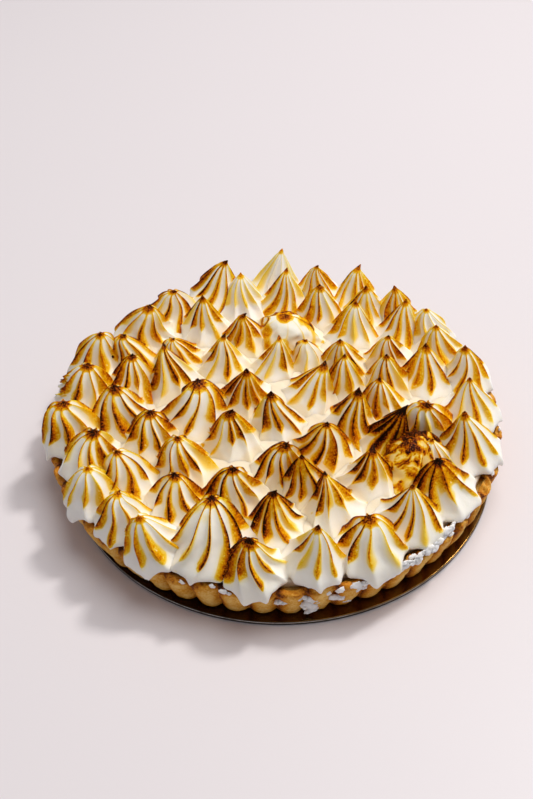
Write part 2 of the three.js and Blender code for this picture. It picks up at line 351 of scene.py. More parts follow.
def baked_pastry():
    paint = Paint("baked_pastry")
    z = paint.along("Z")
    cloud = paint.noise(0.009, 4, 0.6)
    grain = paint.noise(0.0009, 3, 0.65)
    flour = paint.noise(0.0022, 4, 0.7)
    rim = z.ramp(crust_rim - 0.0042, crust_rim - 0.0004)
    towards_left = 1 - paint.along("X").ramp(-0.06, 0.05)
    # Painted shade: darker in the creases between the flutes.
    crease_shade = paint.attribute("crease")
    under = 1 - z.ramp(crust_foot, crust_foot + 0.006)
    patches = paint.noise(0.0035, 3, 0.6).ramp(0.48, 0.66) * 0.22
    # The top band: browned by baking, and darker again as painted shade under the feet of the kisses, more
    # towards the left.
    browned_and_painted_shade = rim * (patches + towards_left * 0.14 + 0.08)
    bake = cloud * 0.8 + grain * 0.75 + browned_and_painted_shade + crease_shade * 0.55 + under * 0.1 - 0.6
    colour = paint.colours(bake, [
        (0.05, srgb(240, 196, 110)),
        (0.3, srgb(220, 153, 44)),
        (0.5, srgb(198, 120, 12)),
        (0.68, srgb(150, 78, 4)),
        (0.9, srgb(76, 30, 2)),
    ])
    dusty = flour.ramp(0.55, 0.78) * (1 - rim) * 0.3
    return paint.finish(
        Base_Color=paint.mix(dusty, colour, srgb(238, 208, 158)),
        Roughness=0.74 - rim * 0.25 + grain * 0.15,
        Specular_IOR_Level=0.2,
        height=grain * 0.6 + paint.noise(0.0004, 2) * 0.4 + flour * 0.5,
        depth=0.0005,
    )


bm = turned(crust_profile(), FLUTES * COLUMNS_PER_FLUTE)
for vert in bm.verts:
    bearing = math.atan2(vert.co.y, vert.co.x)
    outwards = Vector((math.cos(bearing), math.sin(bearing)))
    vert.co = roughened(vert.co.copy(), bearing, outwards)
case = as_piece("pastry_case", bm, baked_pastry(), "shortcrust", "pastry_crust")
bearings = [math.atan2(vert.co.y, vert.co.x) for vert in case.data.vertices]
store(case.data, "crease", np.array([crease(bearing) for bearing in bearings]))

# ---- Meringue kisses ----
# Swiss meringue piped through a large star nozzle in rounds from the edge inwards. Every kiss has eight or
# nine ridges and a drawn-out tip, leans on its neighbours, and was browned along its ridges with a torch.

KISS_FOOT = crust_rim + 0.001
KISS_HEIGHT = 0.0255
SLIMMEST = 0.0185  # foot radius of a kiss of plain width, from this
WIDEST = 0.0226  # to this, by the room that its neighbours leave
TOP_REACH = 0.125  # the kisses share the top of the tart out to here
EDGE_REACH = 0.1125  # how far out a foot may stand
SHY_BEARING = -35  # in degrees: here the feet stay further in and leave the rim bare
SHY_SPREAD = 28
SHY_STEP = 0.0055
SPOT_STEP = 0.0025  # between the spots of the top that the feet share out
SETTLINGS = 14  # how often the feet are moved before they keep their places
DOMED_LEAN = 0.008  # how far the foot of a domed kiss stands in front of its tip, times its dome
MOST_LEAN = 0.004  # however domed it is
SIDE_REACH = 0.1235  # beyond this the skirts at the two sides are pressed flatter
DROOP = 0.006  # how far the outermost foot sags past the rim of the case
OPEN_FROM = 0.107  # a skirt that reaches this far out starts to bulge and curl in below
OPEN_WHOLLY = 0.122  # and does so most from here
CURL_DEPTH = 0.0018  # of the torn kiss
LONGEST_HOOK = 0.0045  # how far a tip may hook over
TIP_RADIUS = 0.0005
COLUMNS_PER_RIDGE = 12
LEVELS = 36

# How tall, wide and domed a kiss is (0 a straight cone, 1 an umbrella), and how far in mm its foot stands
# out beyond and to the left of its tip.
HABITS = {
    "tent": (1.06, 0.98, 0.12, 0, 0),
    "spire": (1.2, 0.96, 0, 0, 0),
    "full": (1, 1, 0.28, 0, 0),
    "umbrella": (0.98, 1.02, 0.5, 0, 0),
    "low": (0.86, 0.94, 0.3, 0, 0),
    "small": (0.8, 0.8, 0.3, 0, 0),
    "broad": (1.16, 1.14, 0.6, 8, 0),
    "curled": (1.12, 0.98, 0.1, 0, 9),
    "arch": (0.8, 1.12, 0.95, 0, 0),
    "smeared": (0.84, 1.1, 0.95, 0, 0),
    "torn": (0.98, 1.02, 0.5, 0, 0),
    "leaning": (1.12, 1, 0.1, 4, -7),
    "hooked": (1.08, 1.12, 0.6, 0, 9),
    "fin": (1.16, 0.98, 0, -8, -8),
    "inward": (1.08, 1.06, 0.15, -9, 0),
}

SPOTTED = ("arch", "low")  # flattened kisses that were left white, with a browned back edge and gold spots
SHALLOW = {"arch": 0.2, "smeared": 0.6, "low": 0.7}  # how deep their grooves are, against the others
LUMPS = {"smeared": 0.0018, "arch": 0.002}  # of kisses that were smeared or collapsed
TWISTED = {"curled": 1.0}  # turned while it was piped, in radians over its height
FORWARDS = np.array([0, -0.79, 0.62])  # to the front and up

FLAME_BEARING = math.radians(160)  # the torch came from this side most of the time
FLAME_LEAN = np.array([1.8, 1.4])  # how much less it heated, per metre, towards the right and the back
RINGS_CENTRE = np.array([-0.002, -0.016, 0.008])  # of the smeared kiss, from the middle of its foot
RING_WIDTH = 0.0062
STRIPE_WIDTH = 0.0022  # from the middle of a browned stripe to its side, at its round end
CREST_WIDTH = 0.0006  # of the darker line along a crest
HOT_SPOT = np.array([0.074, -0.040])  # where the torch was held longest
HOT_REACH = 0.045  # kisses further away than this are scorched on their left instead
NEIGHBOUR_REACH = 0.05  # feet further apart than this have no gap between them
NOOK_WIDTH = 0.011  # a gap as wide as this looks open

# The tips, round by round from the edge inwards. Each has its bearing in degrees, its reach in mm, its habit
# and how much it is torched.
ROUNDS = [
    [
        (87, 120, "spire", 0.12), (75, 108, "tent", 0.7), (63, 119, "tent", 0.85), (49, 110, "tent", 0.8),
        (35, 109, "full", 0.4), (25, 102, "tent", 0.75), (13, 109, "tent", 0.85), (-1, 105, "tent", 0.8),
        (-18, 103, "spire", 0.8), (-37, 101, "full", 1.85), (-51, 105, "spire", 1),
        (-66, 107, "umbrella", 0.9), (-80, 110, "spire", 0.7), (-97, 111, "full", 1.1),
        (-124, 117, "full", 0.42), (-135, 109, "full", 0.52), (-147, 113, "umbrella", 0.3),
        (-160, 100, "umbrella", 1.05), (-173, 113, "umbrella", 0.85), (170, 105, "torn", 0.9),
        (156, 108, "full", 0.8), (136, 101, "full", 0.95), (124, 104, "full", 0.95),
        (104, 113, "curled", 1.1),
    ],
    [
        (85, 102, "tent", 0.7), (72, 91, "tent", 0.85), (56, 99, "tent", 0.9), (55, 85, "tent", 0.8),
        (41, 103, "tent", 0.8), (19, 90, "tent", 0.9), (-13, 84, "umbrella", 1.25),
        (-27, 91, "small", 0.8), (-28, 82, "smeared", 1.8), (-90, 81, "tent", 1.4),
        (-110, 92, "broad", 1.15), (-128, 83, "umbrella", 1.15), (-148, 96, "umbrella", 0.95),
        (-179, 87, "umbrella", 1.05), (161, 84, "umbrella", 1.1), (152, 96, "full", 0.95),
        (119, 86, "tent", 0.8), (101, 102, "full", 0.18),
    ],
    [
        (84, 67, "arch", 0.3), (30, 75, "tent", 0.9), (17, 65, "tent", 1), (1, 57, "full", 1.15),
        (-20, 74, "fin", 2), (-45, 70, "tent", 1.35), (-71, 73, "tent", 1.15), (-78, 61, "tent", 1.5),
        (-108, 68, "umbrella", 1.15), (-141, 65, "umbrella", 1.05), (-163, 69, "umbrella", 1.15),
        (155, 68, "spire", 0.9), (144, 70, "full", 0.85), (105, 60, "tent", 0.9),
    ],
    [
        (86, 40, "tent", 0.85), (65, 45, "low", 0.4), (43, 51, "full", 0.95), (27, 44, "tent", 0.9),
        (-12, 46, "leaning", 1.4), (-50, 42, "full", 1.45), (-83, 49, "umbrella", 1.1),
        (-132, 33, "tent", 1.1), (175, 42, "hooked", 1.05), (124, 49, "tent", 1.05),
    ],
    [
        (31, 33, "inward", 1.05), (154, 17, "tent", 1.1), (-102, 10, "tent", 1.2),
    ],
]


# What differs from kiss to kiss and from ridge to ridge. Each trait draws its own repeatable numbers.
TRAITS = {
    "height": 1, "ridge count": 2, "turn": 3, "twist": 4, "ridge": 5, "drift": 6, "second drift": 7,
    "wobble": 8, "stripe length": 9, "stripe width": 10, "stripe heat": 11, "hook bearing": 12,
    "hook reach": 13, "stray": 14, "dome": 15, "stripe start": 17, "oval": 18, "spared": 19, "crest": 20,
    "stripe side": 21, "crown": 23,
}


def chance(number, trait):
    """A repeatable number from 0 to 1 for one trait of one kiss, or of one ridge of it."""
    wave = np.sin(number * 12.9898 + TRAITS[trait] * 78.233) * 43758.5453
    return wave - np.floor(wave)


def sway(number, trait):
    return 2 * chance(number, trait) - 1


def settled(wishes):
    """Feet that share the top evenly, each pulled to where it was piped, and how wide each has to be."""
    steps = np.arange(-TOP_REACH, TOP_REACH, SPOT_STEP)
    spots = np.stack(np.meshgrid(steps, steps), -1).reshape(-1, 2)
    spots = spots[np.hypot(*spots.T) < TOP_REACH]
    bearings = np.degrees(np.arctan2(wishes[:, 1], wishes[:, 0]))
    limits = EDGE_REACH - SHY_STEP * np.exp(-((bearings - SHY_BEARING) / SHY_SPREAD) ** 2)
    feet = wishes.copy()
    for _ in range(SETTLINGS):
        distances = np.hypot(*(spots[:, None] - feet[None]).transpose(2, 0, 1))
        nearest = distances.argmin(1)
        middles = np.array([spots[nearest == i].mean(0) for i in range(len(feet))])
        feet = feet + 0.5 * (middles - feet) + 0.2 * (wishes - feet)
        feet *= np.minimum(limits / np.hypot(*feet.T), 1)[:, None]
    widths = np.array([distances[nearest == i, i].max() for i in range(len(feet))])
    return feet, widths


def piped_kisses():
    """Every kiss as a dictionary of its own sizes, in metres."""
    kisses = []
    for round_number, entries in enumerate(ROUNDS):
        for degrees, reach, habit, torch in entries:
            outwards = np.array([math.cos(math.radians(degrees)), math.sin(math.radians(degrees))])
            leftwards = np.array([-outwards[1], outwards[0]])
            tall, wide, dome, out, left = HABITS[habit]
            tip = outwards * reach / 1000
            wish = tip + (outwards * out + leftwards * left) / 1000
            wish[1] -= min(DOMED_LEAN * dome, MOST_LEAN)
            kisses.append({"round": round_number, "tip": tip, "wish": wish, "tall": tall, "wide": wide,
                           "dome": dome, "torch": torch, "habit": habit})
    feet, widths = settled(np.array([kiss["wish"] for kiss in kisses]))
    for number, kiss in enumerate(kisses):
        kiss["number"] = number
        kiss["torch"] *= 1 - kiss["tip"] @ FLAME_LEAN
        kiss["foot"] = feet[number]
        kiss["radius"] = np.clip(widths[number], SLIMMEST, WIDEST) * kiss["wide"]
        kiss["height"] = KISS_HEIGHT * kiss["tall"] * (1 + 0.06 * sway(number, "height"))
        kiss["dome"] = np.clip(kiss["dome"] + 0.12 * sway(number, "dome"), 0, 1)
        kiss["ridges"] = 9 if chance(number, "ridge count") < 0.5 else 8
        kiss["turn"] = 2 * math.pi * chance(number, "turn")
        kiss["twist"] = 0.42 * sway(number, "twist") + TWISTED.get(kiss["habit"], 0)
    return kisses


def swell(share, dome):
    """A kiss's radius at a share of its height, between a cone and an umbrella, with a drawn-out tip."""
    cone = np.clip((1 - share) / 0.96, 0, 1) * (1 - 0.3 * smooth(0.8, 1, share))
    umbrella = np.sqrt(np.maximum(1 - (share / 0.95) ** 2, 0))
    tip = np.minimum((1 - share) * 1.2, 0.075)
    return np.maximum(cone + (umbrella - cone) * dome, tip)


def bare_kiss(ridges):
    """A turned shell of height 1 and radius 1, with the rings and columns that each kiss then reshapes."""
    bm = bmesh.new()
    heights = [1 - (1 - level / LEVELS) ** 1.2 for level in range(LEVELS)]
    verts = [bm.verts.new((1, 0, z)) for z in heights]
    edges = [bm.edges.new(pair) for pair in zip(verts, verts[1:])]
    bmesh.ops.spin(bm, geom=verts + edges, cent=(0, 0, 0), axis=(0, 0, 1), angle=2 * math.pi,
                   steps=ridges * COLUMNS_PER_RIDGE, use_merge=True)
    rims = bmesh.ops.holes_fill(bm, edges=bm.edges)["faces"]
    middles = bmesh.ops.poke(bm, faces=rims)["verts"]
    for middle in middles:
        middle.co.z = 1 if middle.co.z > 0.5 else 0
    bmesh.ops.recalc_face_normals(bm, faces=bm.faces)
    mesh = bpy.data.meshes.new("bare_kiss")
    bm.to_mesh(mesh)
    bm.free()
    return mesh


def leaning_axis(kiss, share):
    """Where the axis is at a share of the height. It bends towards the tip, and the very tip hooks over."""
    hook = kiss["hook"] * np.clip((share - 0.78) / 0.22, 0, 1)[..., None] ** 2
    lean = kiss["tip"] - kiss["foot"] - kiss["hook"]
    return kiss["foot"] + lean * share[..., None] ** 1.5 + hook


def ridge_places(kiss, points):
    """Each point's angle in the unturned star, its ridge's number and how far it is off that crest."""
    ridges = kiss["ridges"]
    angle = np.arctan2(points[:, 1], points[:, 0])
    angle = angle - 0.5 * np.sin(ridges * angle) / ridges
    ridge = np.round(angle * ridges / (2 * math.pi)).astype(int) % ridges
    off_crest = angle - np.round(angle * ridges / (2 * math.pi)) * 2 * math.pi / ridges
    return angle, ridge, off_crest


def wound_bearings(kiss, share, angle):
    """Where the points of the star go around the axis, as its ridges drift, stray, sway and wind upwards."""
    number = kiss["number"]
    ridges = kiss["ridges"]
    drift = 0.05 * np.sin(2 * angle + 6 * chance(number, "drift"))
    drift = drift + 0.04 * np.sin(3 * angle + 6 * chance(number, "second drift"))
    wobble = 0.13 * np.sin(6 * share + 6 * chance(number, "wobble"))
    place = (angle * ridges / (2 * math.pi)) % ridges
    here = np.floor(place)
    strays = [0.13 * sway(number * 10 + (here + step) % ridges, "stray") for step in (0, 1)]
    stray = strays[0] + (strays[1] - strays[0]) * smooth(0, 1, place - here)
    return angle + drift + wobble + stray * (1 - share) + kiss["turn"] + kiss["twist"] * share


def star_radii(kiss, share, angle, ridge, off_crest, bearing):
    """How far each point stands off the axis, and how deep in a groove it is, from 0 on the crests to 1."""
    traits = kiss["number"] * 10 + ridge
    edge = kiss["foot"] + kiss["radius"] * np.stack([np.cos(bearing), np.sin(bearing)], 1)
    open_side = smooth(OPEN_FROM, OPEN_WHOLLY, np.hypot(*edge.T))
    softness = 0.004 + (0.016 + 0.06 * open_side) * (1 - smooth(0, 0.5, share))
    half_turns = kiss["ridges"] * off_crest / 2
    groove = 1 - np.clip(1 - np.sqrt(np.sin(half_turns) ** 2 + softness), 0, 1) ** 1.5
    stands_out = 1 + 0.06 * sway(traits, "ridge") * (1 - 0.8 * open_side)
    oval = 0.07 * np.cos(2 * angle + 6 * chance(kiss["number"], "oval"))
    oval = 1 + oval * (1 - 0.7 * open_side)
    depth = 0.14 + (0.15 + 0.12 * kiss["dome"]) * smooth(0, 0.5, share) - 0.08 * smooth(0.8, 1, share)
    depth = depth * SHALLOW.get(kiss["habit"], 1)
    cross = stands_out * (1 - groove) + (1 - depth) * groove
    curl = 0.17 * (1 - np.minimum(share / 0.16, 1)) ** 2
    flare = 0.24 * (1 - np.minimum(share / 0.42, 1)) ** 2
    radius = kiss["radius"] * (swell(share, kiss["dome"]) + flare - (flare + curl) * open_side) * cross * oval
    return np.maximum(radius, TIP_RADIUS), groove


def shaped_kiss(kiss, bare, kisses):
    """One kiss in its place, with the attributes that its browning and its painted nook light and shade are
    painted from.
    """
    mesh = bare.copy()
    points = np.zeros(len(mesh.vertices) * 3)
    mesh.vertices.foreach_get("co", points)
    points = points.reshape(-1, 3)
    share = points[:, 2].copy()
    hub = np.hypot(points[:, 0], points[:, 1]) < 0.5
    angle, ridge, off_crest = ridge_places(kiss, points)
    bearing = wound_bearings(kiss, share, angle)
    radius, groove = star_radii(kiss, share, angle, ridge, off_crest, bearing)
    radius = radius * ~hub
    around = np.stack([np.cos(bearing), np.sin(bearing)], 1)
    points[:, :2] = leaning_axis(kiss, share) + radius[:, None] * around
    points[:, 2] = sagged_heights(kiss, share, points)
    lump = LUMPS.get(kiss["habit"], 0.0004 * (1 - share))
    lumps = np.array([noise.noise(Vector(p) * 190) for p in points]) * lump
    points[:, :2] += lumps[:, None] * around
    curls = torn_curls(kiss, share, points)
    points[:, 0] -= CURL_DEPTH * curls * smooth(0, 0.1, share)
    points[:, 0] -= 0.4 * np.sign(points[:, 0]) * np.maximum(np.abs(points[:, 0]) - SIDE_REACH, 0)
    mesh.vertices.foreach_set("co", points.ravel())
    if kiss["habit"] == "smeared":
        toast = marbled(kiss, share, points, brow(mesh))
    else:
        facing = np.cos(bearing - FLAME_BEARING)
        scorch = charred(kiss, share, points) * (1 - 0.5 * groove)
        toast = torched(kiss, share, ridge, off_crest, radius, facing)
        toast = np.maximum(toast, 0.45 * scorch) + 0.4 * scorch
        toast = np.maximum(toast, 0.8 * smooth(0.25, 0.5, curls) * smooth(0.25, 0.5, share))
    if kiss["habit"] in SPOTTED:
        toast = np.maximum(0.5 * toast, spotted(kiss, share, points, brow(mesh)))
    store(mesh, "toast", toast)
    store(mesh, "nook", nook(kiss, points, share, kisses))
    store(mesh, "known", np.ones(len(points)))
    return mesh


def sagged_heights(kiss, share, points):
    """How high each point is, with a drooping tip and a foot that sags where it stands out past the rim."""
    droop = np.hypot(*kiss["hook"]) * 0.3 * np.clip((share - 0.85) / 0.15, 0, 1) ** 2
    reach = np.hypot(points[:, 0], points[:, 1])
    sag = DROOP * smooth(RIM_RADIUS - 0.001, RIM_RADIUS + 0.0035, reach) * (1 - share) ** 3
    return KISS_FOOT + kiss["height"] * share - droop - sag


def torched(kiss, share, ridge, off_crest, radius, facing):
    """How brown each point is: teardrops down the ridges, from a thin line at the tip to a round end."""
    traits = kiss["number"] * 10 + ridge
    flank = math.hypot(kiss["height"], kiss["radius"])
    down = (1 - share) * flank
    hand = 1 if chance(kiss["number"], "stripe side") < 0.75 else -1
    aside = hand * off_crest * radius
    across = np.where(aside > 0, aside / 1.15, -aside / 0.75)
    crowded = 1 - smooth(0.085, 0.1, np.hypot(*kiss["foot"]))
    end = flank * (0.68 - 0.09 * crowded + 0.16 * sway(traits, "stripe length"))
    along = np.clip(down / end, 0, 1)
    width = (STRIPE_WIDTH + 0.0009 * sway(traits, "stripe width")) * (0.7 + 0.3 * kiss["torch"])
    width = width * (0.12 + 0.88 * along**1.6)
    off = np.hypot(across, np.maximum(down - end, 0)) / width
    start = 0.8 * chance(traits, "stripe start")
    spared = 1 - 0.75 * (chance(traits, "spared") < 0.2)
    warmed = start + (1 - start) * smooth(0.1, 0.65, along)
    heat = kiss["torch"] * (1 + 0.4 * sway(traits, "stripe heat") + 0.3 * facing) * warmed
    gold = (1 - smooth(0.85, 1.5, off)) * np.minimum(0.04 + 0.3 * heat, 0.3)
    core = (1 - smooth(0, 0.9, off)) * 0.43 * np.minimum(heat, 1.6)
    halo = 0.06 * (1 - smooth(0.8, 2.2, off))
    stripe = np.maximum(gold + core, halo) * spared
    crest = (1 - smooth(0, CREST_WIDTH, across)) * smooth(0.3, 0.6, share) * 0.38 * heat
    crest = crest * (chance(traits, "crest") < 0.7)
    browned_and_painted_shade = 0.9 - 0.16 * chance(kiss["number"], "crown") * min(kiss["torch"], 1) * (1 - kiss["dome"])
    crown = smooth(browned_and_painted_shade, 0.985, share) ** 0.7 * (0.45 + 0.55 * kiss["torch"])
    return np.clip(np.maximum(stripe + crest, crown) + 0.012 * min(kiss["torch"], 1), 0, 1.1)


def charred(kiss, share, points):
    """How far the top of a much torched kiss is scorched all over, in streaks and on one side most."""
    strength = np.clip((kiss["torch"] - 1.25) / 0.6, 0, 1)
    if strength == 0:
        return np.zeros(len(share))
    towards = HOT_SPOT - kiss["foot"]
    if np.hypot(*towards) > HOT_REACH:
        towards = np.array([-1.0, 0.0])
    side = (points[:, :2] - kiss["foot"]) @ towards / np.hypot(*towards) / kiss["radius"]
    streaks = np.array([noise.noise(Vector((p[0] * 260, p[1] * 260, p[2] * 90))) for p in points])
    low = 0.78 - 0.55 * strength
    return smooth(low, low + 0.4, share + 0.25 * streaks + 0.3 * side) * strength


def brow(mesh):
    """1 where the skin turns over to the back and 0 where it faces the front."""
    mesh.update()
    normals = np.zeros(len(mesh.vertices) * 3)
    mesh.vertices.foreach_get("normal", normals)
    return 1 - smooth(0.22, 0.56, normals.reshape(-1, 3) @ FORWARDS)


def spotted(kiss, share, points, over):
    """The tones of a flattened kiss: a brown line where its skin turns to the back, and soft gold spots."""
    spots = np.array([noise.noise(Vector(p) * 120 + Vector((kiss["number"], 0, 0))) for p in points])
    outline = np.maximum(over * smooth(0.4, 0.6, share), smooth(0.9, 0.96, share))
    return np.maximum(0.02 + 0.3 * smooth(0.1, 0.5, spots), outline * (0.75 + 0.35 * spots))


def torn_curls(kiss, share, points):
    """Ragged curls, from -2 to 2, on the outer side of the kiss that tore off the nozzle; 0 elsewhere."""
    if kiss["habit"] != "torn":
        return np.zeros(len(share))
    outer = smooth(0.2, 0.7, (kiss["foot"][0] - points[:, 0]) / kiss["radius"])
    crags = np.array([noise.noise(Vector((p[0] * 300, p[1] * 700, p[2] * 700))) for p in points])
    return 2.2 * crags * outer * smooth(0.1, 0.3, share) * (1 - smooth(0.85, 0.95, share))


def marbled(kiss, share, points, over):
    """The tones of the kiss that was smeared flat: brown rings and veins on gold, and a black top edge."""
    centre = np.array([*kiss["foot"], KISS_FOOT]) + RINGS_CENTRE
    cloud = np.array([noise.noise(Vector(p) * 170) for p in points])
    grain = np.array([noise.noise(Vector(p) * 420) for p in points])
    away = np.linalg.norm(points - centre, axis=1)
    rings = 0.5 + 0.5 * np.cos(away * 2 * np.pi / RING_WIDTH + 2.6 * cloud)
    gold = 0.08 + 0.55 * rings**2 * smooth(-0.35, 0.25, cloud + 0.5 * grain)
    behind = (points[:, 1] - kiss["foot"][1]) / kiss["radius"]
    black = smooth(0.8, 1.0, share + 0.35 * behind + 0.35 * cloud + 0.2 * grain)
    veins = 1 - smooth(0, 0.14, np.abs(cloud + 0.4 * grain))
    return np.maximum(gold + 0.5 * veins, 0.95 * np.maximum(black, over * smooth(0.2, 0.5, share)))


def nook(kiss, points, share, kisses):
    """1 where a neighbour is close by, low down between the kisses, and 0 in the open. It sets how much
    painted warm glow and shade the meringue takes there.
    """
    closeness = np.zeros(len(points))
    for other in kisses:
        if other is kiss or np.hypot(*(other["foot"] - kiss["foot"])) > NEIGHBOUR_REACH:
            continue
        level = np.clip((points[:, 2] - KISS_FOOT) / other["height"], 0, 1)
        axis = leaning_axis(other, level)
        away = np.hypot(points[:, 0] - axis[:, 0], points[:, 1] - axis[:, 1])
        gap = away - other["radius"] * swell(level, other["dome"]) * 0.9
        closeness = np.maximum(closeness, 1 - smooth(0, NOOK_WIDTH, gap))
    outer = smooth(0.055, 0.11, np.hypot(points[:, 0], points[:, 1]))
    return closeness * (1 - 0.5 * share) * (1 - 0.75 * outer)


def fetch(mesh, name):
    values = np.zeros(len(mesh.vertices), np.float32)
    mesh.attributes[name].data.foreach_get("value", values)
    return values


def fused(name, meshes):
    """One closed skin of several meshes. The points of new seams take their tones from those beside them."""
    group = bpy.data.collections.new(name)
    bpy.context.scene.collection.children.link(group)
    parts = [bpy.data.objects.new(f"{name}_{i}", mesh) for i, mesh in enumerate(meshes)]
    bpy.context.scene.collection.objects.link(parts[0])
    for part in parts[1:]:
        group.objects.link(part)
    union = parts[0].modifiers.new("fuse", "BOOLEAN")
    union.operation = "UNION"
    union.operand_type = "COLLECTION"
    union.collection = group
    union.solver = "MANIFOLD"
    skin = bpy.data.meshes.new_from_object(parts[0].evaluated_get(bpy.context.evaluated_depsgraph_get()))
    skin.name = name
    for part in parts:
        bpy.data.objects.remove(part)
    bpy.data.collections.remove(group)
    edges = np.zeros(len(skin.edges) * 2, int)
    skin.edges.foreach_get("vertices", edges)
    edges = edges.reshape(-1, 2)
    known = fetch(skin, "known") > 0.999
    for tone in ("toast", "nook"):
        values = fetch(skin, tone)
        have = known.copy()
        for _ in range(3):
            total = np.zeros(len(values))
            count = np.zeros(len(values))
            for here, there in ((0, 1), (1, 0)):
                usable = have[edges[:, there]]
                np.add.at(total, edges[usable, here], values[edges[usable, there]])
                np.add.at(count, edges[usable, here], 1)
            fill = ~have & (count > 0)
            values[fill] = total[fill] / count[fill]
            have |= fill
        skin.attributes[tone].data.foreach_set("value", values.astype(np.float32))
    soften(skin, edges, ~known)
    skin.attributes.remove(skin.attributes["known"])
    return bpy.data.objects.new(name, skin)


def soften(skin, edges, seams):
    """Rounds the creases of the seams, most at the seam and less in the two rings of points beside it."""
    share = seams * 1.0
    for strength in (0.7, 0.4):
        for here, there in ((0, 1), (1, 0)):
            beside = np.zeros(len(share))
            np.maximum.at(beside, edges[:, here], (share[edges[:, there]] >= strength) * strength)
            share = np.maximum(share, beside)
    points = np.zeros(len(skin.vertices) * 3)
    skin.vertices.foreach_get("co", points)
    points = points.reshape(-1, 3)
    count = np.bincount(edges.ravel(), minlength=len(points))[:, None]
    for _ in range(4):
        total = np.zeros_like(points)
        np.add.at(total, edges[:, 0], points[edges[:, 1]])
        np.add.at(total, edges[:, 1], points[edges[:, 0]])
        points += 0.6 * share[:, None] * (total / count - points)
    skin.vertices.foreach_set("co", points.ravel())
    skin.update()


def torched_meringue():
    paint = Paint("torched_meringue")
    toast = paint.attribute("toast")
    nooks = paint.attribute("nook")
    edge = paint.noise(0.0022, 4, 0.6)
    fine = paint.noise(0.0009, 3, 0.65)
    cloud = paint.noise(0.012, 2, 0.5)
    tinted = toast.ramp(0.1, 0.3)
    blotch = paint.noise(0.006, 2, 0.5).ramp(0.7, 0.8) * 0.25
    flecks = (fine - 0.5) * (0.85 + toast.ramp(0.45, 0.9) * 1.5)
    brown = toast + (edge - 0.5) * 0.65 * tinted + flecks * tinted + blotch * nooks
    colour = paint.colours(brown, [
        (0.0, srgb(246, 243, 238)),
        (0.04, srgb(247, 238, 208)),
        (0.1, srgb(244, 212, 100)),
        (0.2, srgb(234, 186, 16)),
        (0.36, srgb(221, 148, 0)),
        (0.54, srgb(188, 98, 0)),
        (0.7, srgb(140, 56, 0)),
        (0.86, srgb(78, 27, 0)),
        (1.0, srgb(26, 9, 0)),
    ])
    # Painted light and shade between the kisses: a warm cream glow where a neighbour is close, darker deep in
    # the nooks.
    nook_glow = nooks.ramp(0.1, 0.6) * (0.8 + cloud * 0.4)
    deep_nook_shade = nooks.ramp(0.55, 1.0) * 0.7
    body = paint.mix(deep_nook_shade, paint.mix(nook_glow, (1, 1, 1, 1), srgb(249, 241, 225)), srgb(241, 229, 203))
    blister = paint.noise(0.0009, 2, 0.7)
    return paint.finish(
        Base_Color=paint.mix(1.0, colour, body, "MULTIPLY"),
        Roughness=0.62 - toast * 0.2 + fine * 0.1,
        Specular_IOR_Level=0.05,
        Subsurface_Weight=0.6,
        Subsurface_Radius=(1.0, 0.93, 0.8),
        Subsurface_Scale=0.0035,
        height=fine * 0.12 + paint.noise(0.003, 3) * 0.5 + blister * toast.ramp(0.4, 0.9) * 0.9,
        depth=0.0003,
    )


kisses = piped_kisses()
for kiss in kisses:
    way = math.radians(40 + 70 * sway(kiss["number"], "hook bearing"))
    reach = LONGEST_HOOK * chance(kiss["number"], "hook reach") ** 1.5
    kiss["hook"] = reach * np.array([math.cos(way), math.sin(way)])

bare = {ridges: bare_kiss(ridges) for ridges in (8, 9)}
meringue_paint = torched_meringue()
for round_number in range(len(ROUNDS)):
    members = [kiss for kiss in kisses if kiss["round"] == round_number]
    shells = [shaped_kiss(kiss, bare[kiss["ridges"]], kisses) for kiss in members]
    ring = fused(f"kisses_round_{round_number + 1}", shells)
    dressed(ring, meringue_paint, "torched_meringue", "meringue")

# ---- Meringue bed ----
# The thick layer that was spread over the filling first. It fills the recess of the case up to the rim and
# shows only as a floor in the gaps between the kisses, painted all over with the warm glow and shade of the
# nooks.

BED_RADIUS = 0.117
BED_RISE = 0.006
BED_EDGE_RISE = 0.003
BED_SLOPE = 0.005  # how wide the slope at the edge is
BED_GAP = 0.0003  # between the bed and the floor of the recess
BED_COLUMNS = 180


def bed_profile():
    """Along the underside from the axis, up the side, up the slope and back to the axis along the top."""
    corners = [
        (AXIS_GAP, recess_floor + BED_GAP),
        (BED_RADIUS, recess_floor + BED_GAP),
        (BED_RADIUS, KISS_FOOT),
        (BED_RADIUS - BED_SLOPE, KISS_FOOT + BED_EDGE_RISE),
        (AXIS_GAP, KISS_FOOT + BED_RISE),
    ]
    profile = [corners[0]]
    for start, end, steps in zip(corners, corners[1:], (4, 3, 4, 60)):
        profile += [*line(start, end, steps), end]
    return profile


bm = turned(bed_profile(), BED_COLUMNS)
for vert in bm.verts:
    if vert.co.z > KISS_FOOT:
        vert.co.z += 0.0012 * noise.noise(vert.co * 90) + 0.0005 * noise.noise(vert.co * 300)
bed = as_piece("meringue_bed", bm, meringue_paint, "torched_meringue", "meringue")
store(bed.data, "toast", np.zeros(len(bed.data.vertices)))
# The whole bed takes the full nook tint: the painted glow and shade of the gaps.
store(bed.data, "nook", np.ones(len(bed.data.vertices)))

# ---- Meringue crumbs ----
# Flakes that broke off the feet of the outermost kisses and stuck to the rim and to the outside of the
# case. The largest clump ran down a flute at the front.

FLAKE = (0.55, 1.3, 0.95)  # how thick, wide and high a flake is, against its size

